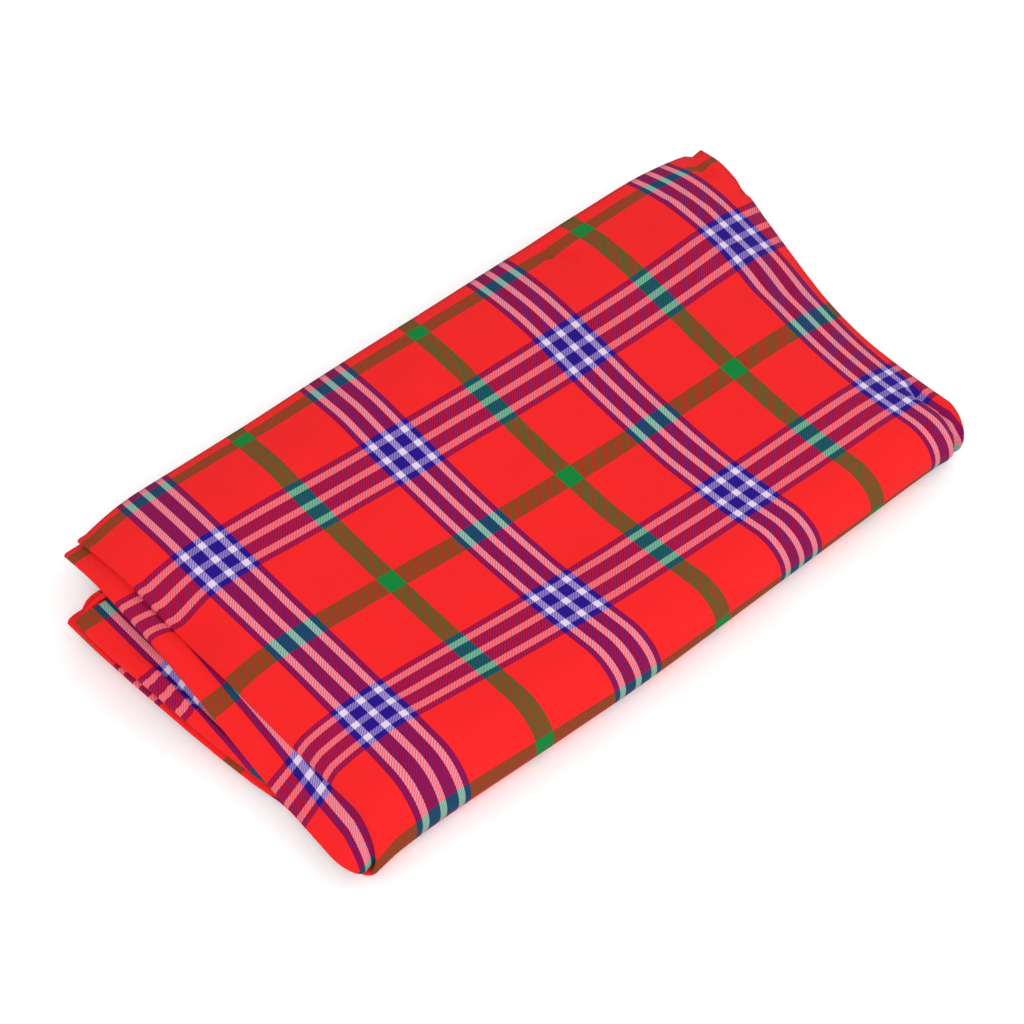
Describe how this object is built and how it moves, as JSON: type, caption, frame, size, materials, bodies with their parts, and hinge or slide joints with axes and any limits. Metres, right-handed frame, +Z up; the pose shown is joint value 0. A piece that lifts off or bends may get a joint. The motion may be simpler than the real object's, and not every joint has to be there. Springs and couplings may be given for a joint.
{
  "type": "folded shuka blanket",
  "caption": "Checked shuka blanket folded flat into a soft rectangular pile, with a rolled front edge, to lie on a shelf, seat or table.",
  "frame": {"origin": "middle of the underside of the folded blanket's box, on the surface that it lies on", "axes": "+X along the folded blanket to its right end, +Y from the rolled front edge to the open back edge, +Z up"},
  "size_m": [0.5668, 0.3103, 0.0492],
  "materials": {
    "cloth": "soft twill weave in red, crossed by blue bands with white lines and by green stripes"
  },
  "bodies": {
    "root": {"shuka_cloth": "cloth"}
  },
  "joints": []
}
